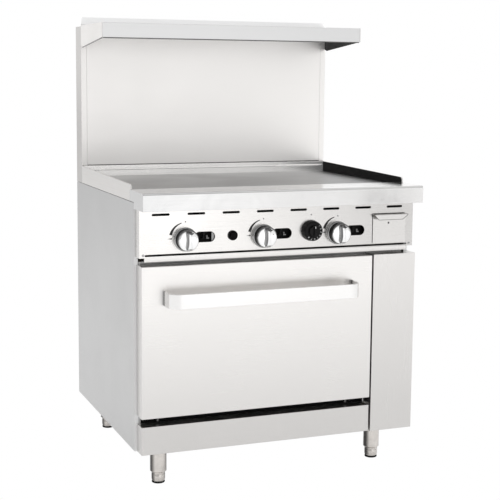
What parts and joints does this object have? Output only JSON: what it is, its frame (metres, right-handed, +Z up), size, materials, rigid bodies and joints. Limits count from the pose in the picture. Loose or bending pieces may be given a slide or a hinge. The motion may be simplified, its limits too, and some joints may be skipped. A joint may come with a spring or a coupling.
{
  "type": "commercial gas range",
  "caption": "Free-standing stainless steel gas range: griddle top with splash guards over an oven with a drop-down door, front controls, grease drawer, high riser and shelf, adjustable feet.",
  "frame": {"origin": "on the floor, at the centre of the overall bounding box", "axes": "+X to the right seen from the front, +Y to the back, so the controls and door face -Y, +Z up"},
  "size_m": [0.9144, 0.85, 1.4415],
  "materials": {
    "stainless_panel": "fine vertical or horizontal brushed grain, satin",
    "stainless_polished": "polished stainless, near mirror",
    "stainless_leg": "turned satin stainless tube",
    "foot_insert": "turned steel insert over a black pad",
    "griddle_steel": "ground cooking steel, slightly darkened",
    "galvanised_steel": "zinc-coated sheet, faint spangle",
    "enamel": "vitreous enamel, dark blue-black with fine speckle",
    "burner_iron": "heat-darkened steel and iron",
    "gas_pipe": "black iron pipe",
    "gas_brass": "machined brass",
    "regulator_grey": "grey painted casting",
    "knob_chrome": "polished chrome",
    "dial_black": "black phenolic with white numbers",
    "button_black": "glossy black plastic",
    "rack_wire": "bright plated wire",
    "insulation_wool": "mineral wool board",
    "screw_steel": "plated screws"
  },
  "bodies": {
    "cabinet": {"side_panel_left": "stainless_panel", "side_panel_right": "stainless_panel", "back_panel": "galvanised_steel", "base_frame": "galvanised_steel", "leg_tubes": "stainless_leg", "kick_panel": "stainless_panel", "pilaster_cover": "stainless_panel", "control_panel": "stainless_panel", "panel_trim": "stainless_polished", "panel_screws": "screw_steel", "front_rim": "stainless_polished", "griddle_plate": "griddle_steel", "splash_left": "stainless_panel", "splash_right": "stainless_panel", "splash_rear": "stainless_panel", "grease_trough": "stainless_panel", "griddle_burners": "burner_iron", "burner_supports": "galvanised_steel", "griddle_pilots": "galvanised_steel", "gas_manifold": "gas_pipe", "griddle_valves": "gas_brass", "thermostat_valve": "gas_brass", "thermostat_bulb": "gas_brass", "pressure_regulator": "regulator_grey", "gas_inlet_pipe": "gas_pipe", "oven_gas_pipe": "gas_brass", "oven_front_frame": "galvanised_steel", "oven_liner": "enamel", "oven_floor": "enamel", "oven_insulation": "insulation_wool", "rack_guides": "rack_wire", "oven_burner": "burner_iron", "riser_back": "stainless_panel", "riser_front": "stainless_panel", "flue_cap": "stainless_panel", "high_shelf": "stainless_panel", "shelf_bracket_left": "stainless_panel", "shelf_bracket_right": "stainless_panel", "hinge_receivers": "galvanised_steel", "knob_bezels": "knob_chrome", "igniter_housing": "button_black", "drawer_housing": "galvanised_steel"},
    "oven_door": {"door_outer_panel": "stainless_panel", "door_inner_panel": "enamel", "door_insulation": "insulation_wool", "door_handle": "stainless_polished", "hinge_arms": "galvanised_steel"},
    "knob_left": {"knob_left": "knob_chrome"},
    "knob_centre": {"knob_centre": "knob_chrome"},
    "knob_right": {"knob_right": "knob_chrome"},
    "thermostat_dial": {"thermostat_knob": "dial_black"},
    "igniter_button": {"igniter_button": "button_black"},
    "grease_drawer": {"grease_drawer": "stainless_panel"},
    "oven_rack": {"oven_rack": "rack_wire"},
    "foot_front_left": {"foot_front_left": "foot_insert"},
    "foot_front_right": {"foot_front_right": "foot_insert"},
    "foot_rear_left": {"foot_rear_left": "foot_insert"},
    "foot_rear_right": {"foot_rear_right": "foot_insert"}
  },
  "joints": [
    {"name": "door_hinge", "type": "hinge", "parent": "cabinet", "child": "oven_door", "pos_m": [-0.0765, -0.332, 0.241], "axis": [1, 0, 0], "range_deg": [0, 90], "stiffness_Nm_per_rad": 5, "springref_deg": -34.38},
    {"name": "knob_left_turn", "type": "hinge", "parent": "cabinet", "child": "knob_left", "pos_m": [-0.3105, -0.36, 0.7675], "axis": [0, -1, 0], "range_deg": [0, 90]},
    {"name": "knob_centre_turn", "type": "hinge", "parent": "cabinet", "child": "knob_centre", "pos_m": [-0.0605, -0.36, 0.7675], "axis": [0, -1, 0], "range_deg": [0, 90]},
    {"name": "knob_right_turn", "type": "hinge", "parent": "cabinet", "child": "knob_right", "pos_m": [0.1885, -0.36, 0.7675], "axis": [0, -1, 0], "range_deg": [0, 90]},
    {"name": "thermostat_turn", "type": "hinge", "parent": "cabinet", "child": "thermostat_dial", "pos_m": [0.098, -0.36, 0.778], "axis": [0, 1, 0], "range_deg": [0, 270]},
    {"name": "igniter_press", "type": "slide", "parent": "cabinet", "child": "igniter_button", "axis": [0, 1, 0], "range_m": [0, 0.005], "stiffness_N_per_m": 400, "springref_m": -0.004},
    {"name": "grease_drawer_slide", "type": "slide", "parent": "cabinet", "child": "grease_drawer", "axis": [0, -1, 0], "range_m": [0, 0.3]},
    {"name": "oven_rack_slide", "type": "slide", "parent": "cabinet", "child": "oven_rack", "axis": [0, -1, 0], "range_m": [0, 0.025]},
    {"name": "foot_front_left_extend", "type": "slide", "parent": "cabinet", "child": "foot_front_left", "axis": [0, 0, -1], "range_m": [0, 0.025]},
    {"name": "foot_front_right_extend", "type": "slide", "parent": "cabinet", "child": "foot_front_right", "axis": [0, 0, -1], "range_m": [0, 0.025]},
    {"name": "foot_rear_left_extend", "type": "slide", "parent": "cabinet", "child": "foot_rear_left", "axis": [0, 0, -1], "range_m": [0, 0.025]},
    {"name": "foot_rear_right_extend", "type": "slide", "parent": "cabinet", "child": "foot_rear_right", "axis": [0, 0, -1], "range_m": [0, 0.025]}
  ]
}
